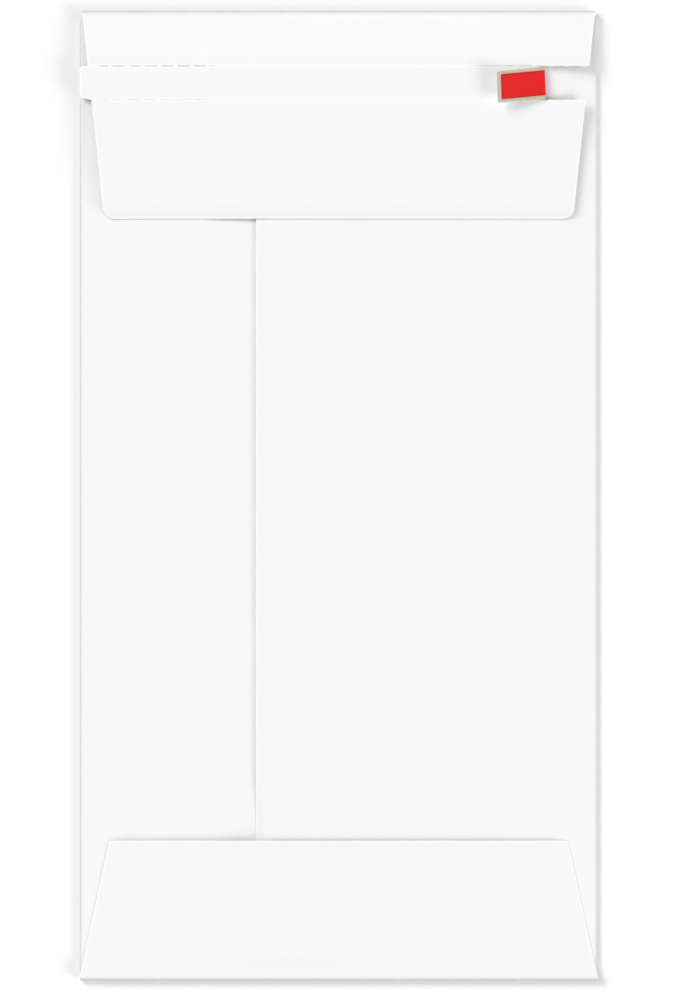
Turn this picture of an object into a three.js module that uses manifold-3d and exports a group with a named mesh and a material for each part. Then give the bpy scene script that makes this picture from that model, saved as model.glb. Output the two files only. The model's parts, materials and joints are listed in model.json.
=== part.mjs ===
// A white paperboard mailer with a tear strip, closed and lying on its address panel with its flaps up.
// Millimetres. X runs across the mailer, Y along it towards the closure flap's fold, Z up from the table.
// The real blank is one die-cut sheet. Here it is divided at its creases, perforations and glued seam.

import * as THREE from 'three';
import { mergeVertices } from 'three/addons/utils/BufferGeometryUtils.js';
import Module from 'manifold-3d';

const wasm = await Module();
wasm.setup();

// The closed mailer and its board
const WIDTH = 101.6; // 4 in
const LENGTH = 190.5; // 7 1/2 in
const BOARD = 0.46; // 18-point paperboard

// Clearances
const CREASE_GAP = 0.3; // between two parts of the blank that meet at a crease
const GLUE_GAP = 0.3; // between two glued sheets
const FLAP_GAP = 0.5; // between the back and the closure flap
const FILM_GAP = 0.04; // between a film and the sheet that it sticks to

// The pocket: the back springs up from its side creases as a flat-topped arch
const SIDE_POCKET = 0.35; // height inside at the side creases
const RISE = 4.5; // how much more it is in the middle
const RISE_POWER = 3; // a larger power makes the arch flatter on top
const RISE_LENGTH = 57; // from the bottom crease to the full height
const MOUTH_DEPTH = 9.5; // the mouth's edge below the top fold
const EAR_WIDTH = 10; // beside the mouth, where the back runs on to the fold
const EAR_RADIUS = 4;

// The lengthwise seam: the wide back panel lies on the narrow one
const SEAM_FROM_LEFT = 34.5;
const SEAM_OVERLAP = 11;
const SEAM_STEP = 5; // the length in which the upper sheet comes down off the lower one
const SEAM_TENT = 12; // the flaps bridge this much on the seam's free side
const SEAM_END = 5; // the lower sheet's overlap starts this far above the bottom crease
const SEAM_TAPER = 6; // and its corner is cut back by this much
const SEAM_GLUE_INSET = 1.5;

// The closure flap
const CLOSURE_DEPTH = 40.7;
const CLOSURE_INSET = 0.4; // each side, at the fold
const CLOSURE_END_WIDTH = 92.1; // at its free edge
const CLOSURE_RADIUS = 2;

// The bottom flap
const BOTTOM_DEPTH = 27.4;
const BOTTOM_END_WIDTH = 90.1;
const BOTTOM_GLUE_WIDTH = 14;
const BOTTOM_GLUE_INSET = 3;

// The tear strip and its perforations: cuts with short ties between them
const STRIP_DEPTH = 10.6; // its upper perforation, below the top fold
const STRIP_WIDTH = 7.1;
const CUT_LENGTH = 2.4; // about: a whole number of cuts fits each run
const CUT_WIDTH = 0.3;
const TIE_LENGTH = 0.8;
const TIE_GAP = 0.1; // between a broken tie and the flap
const TORN_LENGTH = 10.8; // from the mailer's right edge to the tear, where the torn end is folded back
const TAB_LENGTH = 10.8; // the pull tab at the left, which still holds
const STRIP_END_INSET = 1; // the strip's right end, from the mailer's right edge
const RUNS = 5; // hinged runs between the tab and the tear
const FOLD_BACK = 171; // degrees that the torn end is folded over
const FOLD_TILT = 2.75; // degrees between its crease and Y

// The films
const TAPE_WIDTH = 4.9; // the red tear tape
const TAPE_THICKNESS = 0.1;
const TAPE_END_INSET = 0.8;
const GLUE_THICKNESS = 0.15;
const SEAL_WIDTH = 12; // the adhesive that closes the flap
const SEAL_THICKNESS = 0.1;
const SEAL_END_INSET = 4;
const LINER_THICKNESS = 0.1;
const LINER_MARGIN = 1.2; // of the liner around the adhesive

// Facets
const GRID_STEP = 4.5;
const LEAST_STEP = 0.3; // grid lines closer than this to a sheet's edge are left out
const FOLD_STEPS = 6;

// Heights of the sheets' under faces at the side creases, and the folds that wrap them
const backZ = BOARD + SIDE_POCKET;
const seamLift = BOARD + GLUE_GAP;
const bottomFlapZ = backZ + BOARD + GLUE_GAP;
const closureFlapZ = backZ + BOARD + FLAP_GAP;
const sideFoldRadius = (backZ + BOARD) / 2;
const bottomFoldRadius = (bottomFlapZ + BOARD) / 2;
const topFoldRadius = (closureFlapZ + BOARD) / 2;

// Creases and edges in plan
const sideCreaseX = WIDTH / 2 - sideFoldRadius;
const topY = LENGTH / 2;
const topCreaseY = topY - topFoldRadius;
const bottomCreaseY = -topY + bottomFoldRadius;
const mouthY = topY - MOUTH_DEPTH;
const seamX = SEAM_FROM_LEFT - WIDTH / 2;
const seamInnerX = seamX + SEAM_OVERLAP;
const stripTopY = topY - STRIP_DEPTH;
const stripBottomY = stripTopY - STRIP_WIDTH;
const stripMidY = (stripTopY + stripBottomY) / 2;
const closureEndY = topY - CLOSURE_DEPTH;
const bottomEndY = -topY + BOTTOM_DEPTH;
const tearX = WIDTH / 2 - TORN_LENGTH;
const tabX = TAB_LENGTH - WIDTH / 2;
const stripEndX = WIDTH / 2 - STRIP_END_INSET;
const runLength = (tearX - tabX) / RUNS;
const pitch = runLength / Math.round(runLength / (CUT_LENGTH + TIE_LENGTH));
const margin = 1; // by which a sheet's grid passes the outline that trims it

const { degToRad, lerp, smoothstep } = THREE.MathUtils;

/** The rise of the arched back over its side creases. */
function arch(x, y) {
  const across = 1 - Math.min(1, Math.abs(x) / sideCreaseX) ** RISE_POWER;
  const fromBottom = smoothstep(y, bottomCreaseY, bottomCreaseY + RISE_LENGTH);
  const toTop = 1 - smoothstep(y, mouthY, topCreaseY);
  return RISE * across * fromBottom * toTop;
}

/** How far the seam's lower sheet lifts what lies on it, right of the seam's free edge. */
function overSeam(x, y) {
  const across = 1 - smoothstep(x, seamInnerX + CREASE_GAP, seamInnerX + SEAM_STEP);
  const fromBottom = smoothstep(y, bottomCreaseY, bottomCreaseY + SEAM_END);
  const toTop = 1 - smoothstep(y, mouthY, topCreaseY);
  return seamLift * across * fromBottom * toTop;
}

/** The same under a flap, which bridges down to the narrow panel on the free side. */
function overBack(x, y) {
  return overSeam(x, y) * smoothstep(x, seamX - SEAM_TENT, seamX - CREASE_GAP);
}

const narrowBack = (x, y) => backZ + arch(x, y);
const wideBack = (x, y) => backZ + arch(x, y) + overSeam(x, y);
const bottomFlap = (x, y) => bottomFlapZ + arch(x, y) + overBack(x, y);
const closureFlap = (x, y) => closureFlapZ + arch(x, y) + overBack(x, y);

/** Evenly spaced values from a to b, no further apart than step. */
function spaced(a, b, step) {
  const count = Math.max(1, Math.ceil((b - a) / step));
  return Array.from({ length: count + 1 }, (_, i) => lerp(a, b, i / count));
}

/** Joins ascending runs of values, dropping repeats. */
function joined(...runs) {
  return [...new Set(runs.flat())].sort((a, b) => a - b);
}

// All the sheets share these grid lines, so that their facets stay parallel.
const gridX = joined(
  spaced(-sideCreaseX, seamX - SEAM_TENT, GRID_STEP),
  spaced(seamX - SEAM_TENT, seamX - CREASE_GAP, SEAM_TENT / 4),
  spaced(seamX - CREASE_GAP, seamInnerX + CREASE_GAP, SEAM_OVERLAP / 2),
  spaced(seamInnerX + CREASE_GAP, seamInnerX + SEAM_STEP, SEAM_STEP / 3),
  spaced(seamInnerX + SEAM_STEP, sideCreaseX, GRID_STEP),
);
const gridY = joined(
  spaced(bottomCreaseY, bottomCreaseY + SEAM_END, SEAM_END / 3),
  spaced(bottomCreaseY + SEAM_END, bottomCreaseY + RISE_LENGTH, 1.5 * GRID_STEP),
  spaced(mouthY, topCreaseY, (topCreaseY - mouthY) / 5),
);

/** a, the grid lines between a and b, and b. */
function linesWithin(lines, a, b) {
  return [a, ...lines.filter((v) => v > a + LEAST_STEP && v < b - LEAST_STEP), b];
}

/**
 * A closed sheet lofted through stations. Each station is a list of [face, opposite face] point pairs
 * along the sheet's path, and all stations have as many pairs.
 */
function loftSheet(stations) {
  const rows = stations.length;
  const columns = stations[0].length;
  const positions = stations.flat(3);
  const at = (row, column, face) => 2 * (row * columns + column) + face;
  const index = [];
  const quad = (a, b, c, d) => index.push(a, b, c, a, c, d);
  for (let r = 0; r < rows - 1; r++) {
    for (let c = 0; c < columns - 1; c++) {
      quad(at(r, c, 1), at(r, c + 1, 1), at(r + 1, c + 1, 1), at(r + 1, c, 1));
      quad(at(r, c, 0), at(r + 1, c, 0), at(r + 1, c + 1, 0), at(r, c + 1, 0));
    }
    const last = columns - 1;
    quad(at(r, 0, 0), at(r, 0, 1), at(r + 1, 0, 1), at(r + 1, 0, 0));
    quad(at(r, last, 1), at(r, last, 0), at(r + 1, last, 0), at(r + 1, last, 1));
  }
  for (let c = 0; c < columns - 1; c++) {
    const last = rows - 1;
    quad(at(0, c, 0), at(0, c + 1, 0), at(0, c + 1, 1), at(0, c, 1));
    quad(at(last, c, 1), at(last, c + 1, 1), at(last, c + 1, 0), at(last, c, 0));
  }
  const geometry = new THREE.BufferGeometry();
  geometry.setAttribute('position', new THREE.Float32BufferAttribute(positions, 3));
  geometry.setIndex(index);
  return facingOut(geometry);
}

/** Turns a closed geometry's triangles round if its faces point inwards. */
function facingOut(geometry) {
  const points = geometry.attributes.position;
  const index = geometry.index.array;
  const [a, b, c] = [new THREE.Vector3(), new THREE.Vector3(), new THREE.Vector3()];
  let volume = 0;
  for (let i = 0; i < index.length; i += 3) {
    a.fromBufferAttribute(points, index[i]);
    b.fromBufferAttribute(points, index[i + 1]);
    c.fromBufferAttribute(points, index[i + 2]);
    volume += a.dot(b.cross(c));
  }
  if (volume < 0) {
    geometry.setIndex(Array.from(index).reverse());
  }
  return geometry;
}

/** A sheet over a plan grid, with its under face at under(x, y). */
function plate(xs, ys, under, thickness) {
  return loftSheet(ys.map((y) => xs.map((x) => {
    const z = under(x, y);
    return [[x, y, z], [x, y, z + thickness]];
  })));
}

/**
 * The half round of a fold as [inner, outer] pairs of [out, up]: out from the crease, up from the table.
 * It starts underneath and ends on top.
 */
function foldSection(radius) {
  return spaced(-90, 90, 180 / FOLD_STEPS).map((degrees) => {
    const a = degToRad(degrees);
    return [radius - BOARD, radius].map((r) => [r * Math.cos(a), radius + r * Math.sin(a)]);
  });
}

/** A closed solid for cutting and joining. */
function solid(geometry) {
  const bare = geometry.clone();
  bare.deleteAttribute('normal');
  bare.deleteAttribute('uv');
  const merged = mergeVertices(bare, 1e-5);
  return new wasm.Manifold(new wasm.Mesh({
    numProp: 3,
    vertProperties: new Float32Array(merged.attributes.position.array),
    triVerts: new Uint32Array(merged.index.array),
  }));
}

/** Trims a sheet to an outline in plan, as the die cuts the board. */
function dieCut(sheet, outline) {
  const height = 4 * (closureFlapZ + RISE);
  const prism = new THREE.ExtrudeGeometry(outline, { depth: height, bevelEnabled: false, curveSegments: 6 });
  prism.translate(0, 0, -height / 2);
  const cut = solid(sheet).intersect(solid(prism)).getMesh();
  const geometry = new THREE.BufferGeometry();
  geometry.setAttribute('position', new THREE.BufferAttribute(cut.vertProperties, 3));
  geometry.setIndex(new THREE.BufferAttribute(cut.triVerts, 1));
  return geometry;
}

/** A plan grid that covers an outline with a margin. */
function plateOver(outline, under, thickness) {
  const box = new THREE.Box2().setFromPoints(outline.getPoints());
  box.expandByScalar(margin);
  const xs = linesWithin(gridX, box.min.x, box.max.x);
  const ys = linesWithin(gridY, box.min.y, box.max.y);
  return dieCut(plate(xs, ys, under, thickness), outline);
}

/** A film on a rectangle in plan. */
function film(x0, x1, y0, y1, under, thickness) {
  return plate(linesWithin(gridX, x0, x1), linesWithin(gridY, y0, y1), under, thickness);
}

/** A shape through corners given as [x, y]. */
function polygon(corners) {
  return new THREE.Shape(corners.map(([x, y]) => new THREE.Vector2(x, y)));
}

/** The front panel lies flat and wraps round the top fold, up to the closure flap's crease. */
function frontPanel() {
  const half = WIDTH / 2 - CLOSURE_INSET;
  const path = [
    [[bottomCreaseY + CREASE_GAP, BOARD], [bottomCreaseY + CREASE_GAP, 0]],
    ...foldSection(topFoldRadius).map((pair) => pair.map(([out, up]) => [topCreaseY + out, up])),
  ];
  const sheet = loftSheet([-half, half].map((x) => path.map((pair) => pair.map(([y, z]) => [x, y, z]))));
  const between = sideCreaseX - CREASE_GAP;
  const outline = polygon([
    [-between, bottomCreaseY - margin],
    [between, bottomCreaseY - margin],
    [between, topCreaseY],
    [half + margin, topCreaseY],
    [half + margin, topY + margin],
    [-half - margin, topY + margin],
    [-half - margin, topCreaseY],
    [-between, topCreaseY],
  ]);
  return dieCut(sheet, outline);
}

/** A back panel with its side fold; side is -1 for the left and 1 for the right. */
function backPanel(side, innerX, under, outline) {
  const xs = side < 0
    ? linesWithin(gridX, -sideCreaseX, innerX + margin)
    : linesWithin(gridX, innerX - margin, sideCreaseX).reverse();
  const fold = foldSection(sideFoldRadius).slice(0, -1);
  const ys = linesWithin(gridY, bottomCreaseY + CREASE_GAP, topCreaseY - CREASE_GAP);
  const stations = ys.map((y) => [
    ...fold.map((pair) => pair.map(([out, up]) => [side * (sideCreaseX + out), y, up])),
    ...xs.map((x) => [[x, y, under(x, y)], [x, y, under(x, y) + BOARD]]),
  ]);
  return dieCut(loftSheet(stations), outline);
}

/** The edge of the mouth from the seam's side at innerX out to the ear at one side. */
function addMouthEdge(shape, side) {
  const earX = side * (WIDTH / 2 - EAR_WIDTH);
  shape.lineTo(earX - side * EAR_RADIUS, mouthY);
  shape.quadraticCurveTo(earX, mouthY, earX, mouthY + EAR_RADIUS);
  shape.lineTo(earX, topY);
  shape.lineTo(side * (WIDTH / 2 + margin), topY);
  shape.lineTo(side * (WIDTH / 2 + margin), -topY);
}

function backPanelNarrow() {
  const free = seamX - CREASE_GAP;
  const outline = new THREE.Shape();
  outline.moveTo(free, -topY);
  outline.lineTo(free, bottomCreaseY + SEAM_END);
  outline.lineTo(seamInnerX, bottomCreaseY + SEAM_END + SEAM_TAPER);
  outline.lineTo(seamInnerX, mouthY);
  addMouthEdge(outline, -1);
  return backPanel(-1, seamInnerX, narrowBack, outline);
}

function backPanelWide() {
  const outline = new THREE.Shape();
  outline.moveTo(seamX, -topY);
  outline.lineTo(seamX, mouthY);
  addMouthEdge(outline, 1);
  return backPanel(1, seamX, wideBack, outline);
}

/** The glue in the seam, halfway between the two sheets. */
function seamGlue() {
  const clear = (GLUE_GAP - GLUE_THICKNESS) / 2;
  const under = (x, y) => narrowBack(x, y) + BOARD + clear;
  const low = bottomCreaseY + SEAM_END + SEAM_TAPER;
  const [x0, x1] = [seamX + SEAM_GLUE_INSET, seamInnerX - SEAM_GLUE_INSET];
  return film(x0, x1, low, mouthY - SEAM_GLUE_INSET, under, GLUE_THICKNESS);
}

/** The bottom flap wraps round the bottom fold and lies on the back, narrowing to its free edge. */
function bottomFlapSheet() {
  const half = WIDTH / 2;
  const xs = [-half, ...gridX, half];
  const fold = foldSection(bottomFoldRadius).slice(0, -1);
  const ys = linesWithin(gridY, bottomCreaseY, bottomEndY + margin);
  const stations = xs.map((x) => [
    ...fold.map((pair) => pair.map(([out, up]) => [x, bottomCreaseY - out, up])),
    ...ys.map((y) => [[x, y, bottomFlap(x, y)], [x, y, bottomFlap(x, y) + BOARD]]),
  ]);
  const outline = polygon([
    [-half - margin, -topY - margin],
    [half + margin, -topY - margin],
    [half + margin, bottomCreaseY],
    [half, bottomCreaseY],
    [BOTTOM_END_WIDTH / 2, bottomEndY],
    [-BOTTOM_END_WIDTH / 2, bottomEndY],
    [-half, bottomCreaseY],
    [-half - margin, bottomCreaseY],
  ]);
  return dieCut(loftSheet(stations), outline);
}

/** A film of glue under the bottom flap, along its free edge. */
function bottomFlapGlue() {
  const clear = (GLUE_GAP - GLUE_THICKNESS) / 2;
  const half = BOTTOM_END_WIDTH / 2 - BOTTOM_GLUE_INSET;
  const high = bottomEndY - BOTTOM_GLUE_INSET;
  const under = (x, y) => bottomFlap(x, y) - clear - GLUE_THICKNESS;
  return film(-half, half, high - BOTTOM_GLUE_WIDTH, high, under, GLUE_THICKNESS);
}

/** The closure flap's half width where it is y along the mailer. */
function closureHalf(y) {
  return lerp(CLOSURE_END_WIDTH / 2, WIDTH / 2 - CLOSURE_INSET, (y - closureEndY) / CLOSURE_DEPTH);
}

/** The part of the closure flap between its crease and the upper perforation. */
function closureFlapUpper() {
  const high = topCreaseY - CREASE_GAP;
  const [wide, narrow] = [closureHalf(high), closureHalf(stripTopY)];
  const outline = polygon([[-narrow, stripTopY], [narrow, stripTopY], [wide, high], [-wide, high]]);
  return plateOver(outline, closureFlap, BOARD);
}

/** The part beyond the lower perforation, with round corners. */
function closureFlapLower() {
  const wide = closureHalf(stripBottomY);
  const corner = closureHalf(closureEndY);
  const side = closureHalf(closureEndY + CLOSURE_RADIUS);
  const outline = new THREE.Shape();
  outline.moveTo(wide, stripBottomY);
  outline.lineTo(-wide, stripBottomY);
  outline.lineTo(-side, closureEndY + CLOSURE_RADIUS);
  outline.quadraticCurveTo(-corner, closureEndY, -corner + CLOSURE_RADIUS, closureEndY);
  outline.lineTo(corner - CLOSURE_RADIUS, closureEndY);
  outline.quadraticCurveTo(corner, closureEndY, side, closureEndY + CLOSURE_RADIUS);
  return plateOver(outline, closureFlap, BOARD);
}

/** The x of a line through the strip that leans as the torn end's crease does. */
function creaseX(x, y, lean) {
  return x - Math.tan(degToRad(lean)) * (y - stripMidY);
}

/**
 * The outline of a length of tear strip. Along both edges it is set back by the width of the cuts, and the
 * ties stand out from it, one in each pitch counted from the tear.
 */
function stripOutline(left, right) {
  const ends = { low: stripBottomY + CUT_WIDTH, high: stripTopY - CUT_WIDTH };
  const tieHeight = CUT_WIDTH - TIE_GAP;
  const first = Math.ceil((left.x - tearX) / pitch - 0.5);
  const last = Math.floor((right.x - tearX) / pitch - 0.5);
  const edge = (y, out) => {
    const points = [[creaseX(left.x, y, left.lean), y]];
    for (let i = first; i <= last; i++) {
      const x = tearX + (i + 0.5) * pitch;
      if (Math.abs(x) + TIE_LENGTH < closureHalf(y)) {
        points.push([x - TIE_LENGTH / 2, y], [x - TIE_LENGTH / 2, y + out]);
        points.push([x + TIE_LENGTH / 2, y + out], [x + TIE_LENGTH / 2, y]);
      }
    }
    return [...points, [creaseX(right.x, y, right.lean), y]];
  };
  return polygon([...edge(ends.low, -tieHeight), ...edge(ends.high, tieHeight).reverse()]);
}

/** Board and tape of one length of tear strip, which ends at two lines given as {x, lean}. */
function stripLength(left, right, tapeLeft, tapeRight) {
  const outline = stripOutline(left, right);
  const [y0, y1] = [stripMidY - TAPE_WIDTH / 2, stripMidY + TAPE_WIDTH / 2];
  const under = (x, y) => closureFlap(x, y) - FILM_GAP - TAPE_THICKNESS;
  return {
    board: plateOver(outline, closureFlap, BOARD),
    tape: film(tapeLeft, tapeRight, y0, y1, under, TAPE_THICKNESS),
  };
}

/** The closing adhesive under the flap's lower part, or its liner when grown by the liner's margin. */
function sealFilm(grow, down, thickness) {
  const half = CLOSURE_END_WIDTH / 2 - SEAL_END_INSET + grow;
  const midY = (stripBottomY + closureEndY) / 2;
  const reach = SEAL_WIDTH / 2 + grow;
  return film(-half, half, midY - reach, midY + reach, (x, y) => closureFlap(x, y) - down, thickness);
}

const mailer = new THREE.Group();

function boardMaterial() {
  return new THREE.MeshStandardMaterial({ color: 0xf7f7f7, roughness: 0.62, metalness: 0 });
}

function tapeMaterial() {
  return new THREE.MeshStandardMaterial({ color: 0xeb282a, roughness: 0.35, metalness: 0 });
}

function glueMaterial() {
  return new THREE.MeshStandardMaterial({ color: 0xe9e2cf, roughness: 0.4, metalness: 0 });
}

function linerMaterial() {
  return new THREE.MeshStandardMaterial({ color: 0xf3efe4, roughness: 0.3, metalness: 0 });
}

function add(parent, name, geometry, material) {
  const mesh = new THREE.Mesh(geometry, material);
  mesh.name = name;
  parent.add(mesh);
  return mesh;
}

add(mailer, 'front_panel', frontPanel(), boardMaterial());
add(mailer, 'back_panel_narrow', backPanelNarrow(), boardMaterial());
add(mailer, 'back_panel_wide', backPanelWide(), boardMaterial());
add(mailer, 'seam_glue', seamGlue(), glueMaterial());
add(mailer, 'bottom_flap', bottomFlapSheet(), boardMaterial());
add(mailer, 'bottom_flap_glue', bottomFlapGlue(), glueMaterial());

const sealDown = FILM_GAP + SEAL_THICKNESS;
const linerDown = sealDown + FILM_GAP + LINER_THICKNESS;
add(mailer, 'closure_flap_upper', closureFlapUpper(), boardMaterial());
add(mailer, 'closure_flap_lower', closureFlapLower(), boardMaterial());
add(mailer, 'seal_adhesive', sealFilm(0, sealDown, SEAL_THICKNESS), glueMaterial());
add(mailer, 'release_liner', sealFilm(LINER_MARGIN, linerDown, LINER_THICKNESS), linerMaterial());

// The strip: the pull tab that still holds at the left, the runs up to the tear, then the torn end
const halfGap = CREASE_GAP / 2;
const tab = stripLength(
  { x: -WIDTH / 2, lean: 0 },
  { x: tabX - halfGap, lean: 0 },
  -WIDTH / 2 + TAPE_END_INSET,
  tabX - halfGap,
);
add(mailer, 'tear_strip_tab', tab.board, boardMaterial());
add(mailer, 'tear_tape_tab', tab.tape, tapeMaterial());
for (let i = 0; i < RUNS; i++) {
  const x0 = tabX + i * runLength + halfGap;
  const x1 = tabX + (i + 1) * runLength - halfGap;
  const atTear = i === RUNS - 1;
  const run = stripLength(
    { x: x0, lean: 0 },
    { x: x1, lean: atTear ? FOLD_TILT : 0 },
    x0,
    atTear ? x1 - halfGap : x1,
  );
  add(mailer, `tear_strip_${i + 1}`, run.board, boardMaterial());
  add(mailer, `tear_tape_${i + 1}`, run.tape, tapeMaterial());
}

// The torn end is made in its slot, then turned over about its crease in the strip's upper face.
const crease = new THREE.Vector3(tearX, stripMidY, closureFlap(tearX, stripMidY) + BOARD);
const creaseAxis = new THREE.Vector3(-Math.sin(degToRad(FOLD_TILT)), Math.cos(degToRad(FOLD_TILT)), 0);
const foldedEnd = new THREE.Group();
foldedEnd.position.copy(crease);
foldedEnd.setRotationFromAxisAngle(creaseAxis, -degToRad(FOLD_BACK));
mailer.add(foldedEnd);
const end = stripLength(
  { x: tearX + halfGap, lean: FOLD_TILT },
  { x: stripEndX, lean: 0 },
  tearX + CREASE_GAP,
  stripEndX - TAPE_END_INSET,
);
for (const [name, geometry, material] of [
  ['tear_strip_end', end.board, boardMaterial()],
  ['tear_tape_end', end.tape, tapeMaterial()],
]) {
  geometry.translate(-crease.x, -crease.y, -crease.z);
  add(foldedEnd, name, geometry, material);
}

export default mailer;
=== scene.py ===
# A white paperboard mailer with a red tear tape, lying closed on its address panel with its flaps up.
# Metres. X runs across the mailer, Y along it towards the closure flap's fold, Z up from the table.

import json
import math
import bpy
import numpy as np
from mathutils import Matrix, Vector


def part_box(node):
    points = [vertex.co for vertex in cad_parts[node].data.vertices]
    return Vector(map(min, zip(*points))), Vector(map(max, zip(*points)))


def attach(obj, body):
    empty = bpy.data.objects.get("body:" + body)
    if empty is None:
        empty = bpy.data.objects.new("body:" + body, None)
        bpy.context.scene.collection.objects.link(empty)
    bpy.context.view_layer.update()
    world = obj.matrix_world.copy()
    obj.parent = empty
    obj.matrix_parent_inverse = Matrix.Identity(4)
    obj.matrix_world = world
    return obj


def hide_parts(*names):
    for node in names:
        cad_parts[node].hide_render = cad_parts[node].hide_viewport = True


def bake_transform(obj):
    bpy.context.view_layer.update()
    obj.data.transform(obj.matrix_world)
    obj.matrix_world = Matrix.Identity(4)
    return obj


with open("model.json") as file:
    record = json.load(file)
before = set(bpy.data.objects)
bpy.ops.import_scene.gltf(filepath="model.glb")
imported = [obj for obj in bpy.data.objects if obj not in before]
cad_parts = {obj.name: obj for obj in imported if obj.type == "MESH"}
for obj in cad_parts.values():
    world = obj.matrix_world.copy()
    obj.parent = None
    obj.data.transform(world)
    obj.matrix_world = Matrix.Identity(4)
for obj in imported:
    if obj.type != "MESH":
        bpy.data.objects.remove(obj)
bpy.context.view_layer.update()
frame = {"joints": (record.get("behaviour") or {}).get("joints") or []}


# The address panel: the flat side that the label goes on, and all that the table carries. It is white coated
# paperboard, folded up and over at the top, where the sheet turns through a half round to reach the closure
# flap's crease.

MM = 0.001
BOARD = 0.46 * MM
SIDE_POCKET = 0.35 * MM  # the room between the two panels at a side fold
GLUE_GAP = 0.3 * MM  # the room for glue between two sheets
WHITE = (0.945, 0.945, 0.945)
CORE = (0.52, 0.47, 0.38)
KRAFT = (0.61, 0.545, 0.405)
ROUGHNESS_SWING = 0.06
FOLD_CRAZING_AND_SHADE_GREY = 0.68  # the share of the coat's white that is left where crazing and painted shade along a fold grey it most
# each fold's grey is partly crazing of the coat and partly painted shade along the mailer's outline
TOP_CRAZING_AND_SHADE = 1.0
CRAZING_AND_SHADE_REACH = math.radians(58)  # how far from its middle a fold's outer face is greyed by crazing and painted shade
DIE_ROUND = 0.09 * MM  # the die presses the sheet's edges round by this much
MOST_DRAWN = 0.42  # the largest share of the thickness that the rounding takes from a face
SHARP_ANGLE = math.radians(38)
# the grid lines beside a die-cut edge are at these distances from it: four round the edge, two further in
RINGS = np.append(DIE_ROUND * (1 - np.cos(np.radians([0, 30, 60, 90]))), [0.3 * MM, 0.6 * MM])
FAR = 1.0  # stands for no die-cut edge near
FOLD_STEPS = 20
PANEL_ROWS = 90
PANEL_STEP = 3 * MM
TOP_STEP = 0.2 * MM  # the panel's last stretch, where its sides run out to the top fold's width

panel_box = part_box("front_panel")
bottom_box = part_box("bottom_flap")
half_width = bottom_box[1].x
half_length = panel_box[1].y
flap_half = panel_box[1].x
top_radius = panel_box[1].z / 2
top_crease = half_length - top_radius
side_radius = (2 * BOARD + SIDE_POCKET) / 2
side_crease = half_width - side_radius
bottom_radius = (3 * BOARD + SIDE_POCKET + GLUE_GAP) / 2
bottom_crease = bottom_radius - half_length


def join(tree, node, **values):
    """Adds a shader node: a value that is a socket is linked, and any other is set.

    A name such as _3 is the number of an input.
    """
    made = tree.nodes.new(node)
    for name, value in values.items():
        if name in made.bl_rna.properties:
            setattr(made, name, value)
            continue
        key = int(name[1:]) if name[0] == "_" else name.replace("_", " ")
        if isinstance(value, bpy.types.NodeSocket):
            tree.links.new(value, made.inputs[key])
        else:
            made.inputs[key].default_value = value
    return made


def kept(tree, name):
    """The number that a piece's mesh keeps under that name at each point."""
    return join(tree, "ShaderNodeAttribute", attribute_name=name).outputs["Fac"]


def noise(tree, place, waves, **settings):
    """Soft noise between 0 and 1, with so many waves to the metre."""
    return join(tree, "ShaderNodeTexNoise", Vector=place, Scale=waves, **settings).outputs["Fac"]


def ramp(tree, value, start, end, low=0.0, high=1.0):
    """Runs evenly from start to end as the value goes from low to high, and stays there beyond them."""
    return join(tree, "ShaderNodeMapRange", Value=value, _1=low, _2=high, _3=start, _4=end).outputs["Result"]


def times(tree, one, other):
    """Two numbers multiplied."""
    return join(tree, "ShaderNodeMath", operation="MULTIPLY", _0=one, _1=other).outputs[0]


def shaded(tree, colour, shade):
    """A colour multiplied by a number."""
    return join(tree, "ShaderNodeVectorMath", operation="SCALE", _0=colour, Scale=shade).outputs[0]


def blended(tree, share, colour, other):
    """The first colour where the share is 0, the other where it is 1, and a mixture in between."""
    return join(tree, "ShaderNodeMix", data_type="RGBA", _0=share, _6=colour, _7=other).outputs[2]


def finish_material(name, colour_of, roughness, specular, grain, depth):
    """A surface whose colour comes from colour_of(tree, place) and whose grain, in metres, is depth deep."""
    material = bpy.data.materials.new(name)
    material.use_nodes = True
    tree = material.node_tree
    shader = tree.nodes["Principled BSDF"]
    place = join(tree, "ShaderNodeTexCoord").outputs["Object"]
    tree.links.new(colour_of(tree, place), shader.inputs["Base Color"])
    fibres = noise(tree, place, 1 / grain, Detail=3.0, Roughness=0.6)
    bump = join(tree, "ShaderNodeBump", Height=fibres, Distance=depth, Strength=1.0)
    tree.links.new(bump.outputs["Normal"], shader.inputs["Normal"])
    rough = ramp(tree, fibres, roughness - ROUGHNESS_SWING, roughness + ROUGHNESS_SWING)
    tree.links.new(rough, shader.inputs["Roughness"])
    shader.inputs["Specular IOR Level"].default_value = specular
    return material


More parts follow.
